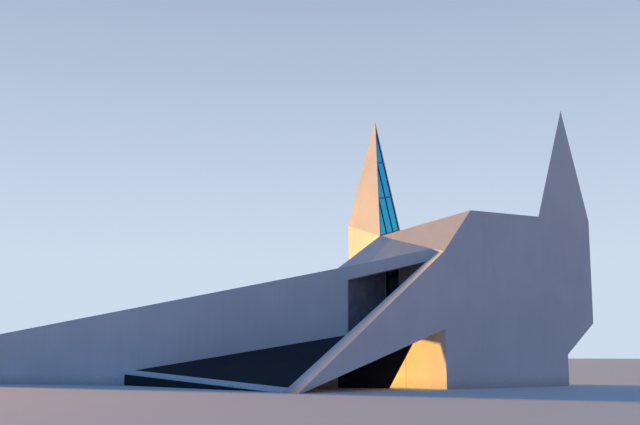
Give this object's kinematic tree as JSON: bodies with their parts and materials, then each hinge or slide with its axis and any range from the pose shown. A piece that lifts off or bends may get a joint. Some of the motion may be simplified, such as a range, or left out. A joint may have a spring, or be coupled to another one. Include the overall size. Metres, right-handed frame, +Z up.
{
  "type": "modern church building",
  "caption": "Small modern church of folded white planes with two pointed glazed spires, a covered entrance and a ramp between a triangular parapet and a long tapering wall.",
  "frame": {"origin": "middle of the whole part's outline in plan, on the level ground that its walls stand on", "axes": "+X along the nave's long walls from the entrance towards the end wall, +Y across the nave from the near wall to the far wall, +Z up"},
  "size_m": [33.5708, 32.2476, 13.86],
  "materials": {
    "white_coating": "matte",
    "concrete": "matte",
    "asphalt": "matte",
    "threshold": "matte",
    "glass": "gloss",
    "dark_metal": "satin"
  },
  "bodies": {
    "building": {"near_wall": "white_coating", "far_wall": "white_coating", "front_wall_near": "white_coating", "front_wall_far": "white_coating", "front_wall_under": "white_coating", "front_wall_over": "white_coating", "end_wall": "white_coating", "end_soffit": "white_coating", "end_foot": "white_coating", "roof_front": "white_coating", "roof_near": "white_coating", "roof_middle": "white_coating", "roof_far": "white_coating", "near_spire_face": "white_coating", "near_spire_side": "white_coating", "far_spire_face": "white_coating", "far_spire_side": "white_coating", "porch_end_wall": "white_coating", "entrance_lintel": "white_coating", "porch_roof_right": "white_coating", "porch_roof_left": "white_coating", "long_wall": "white_coating", "near_parapet": "white_coating", "nave_floor": "concrete", "porch_floor": "concrete", "ramp_slab": "concrete", "porch_paving": "asphalt", "ramp_paving": "asphalt", "threshold_base": "asphalt", "entrance_foot": "asphalt", "threshold_strip": "threshold", "near_spire_glass": "glass", "far_spire_glass": "glass", "transom_glass": "glass", "near_spire_bars": "dark_metal", "far_spire_bars": "dark_metal", "door_frame": "dark_metal", "frame_hinge_1": "dark_metal", "frame_hinge_2": "dark_metal", "frame_hinge_3": "dark_metal"},
    "door": {"door_leaf": "dark_metal", "door_glass": "glass", "leaf_hinge_1": "dark_metal", "leaf_hinge_2": "dark_metal", "leaf_hinge_3": "dark_metal", "pull_handle_inside": "dark_metal", "pull_handle_outside": "dark_metal"}
  },
  "joints": [
    {"name": "door_swing", "type": "hinge", "parent": "building", "child": "door", "pos_m": [6.83499, -12.03915, 3.018], "axis": [0, 0, 1], "range_deg": [0, 95]}
  ]
}
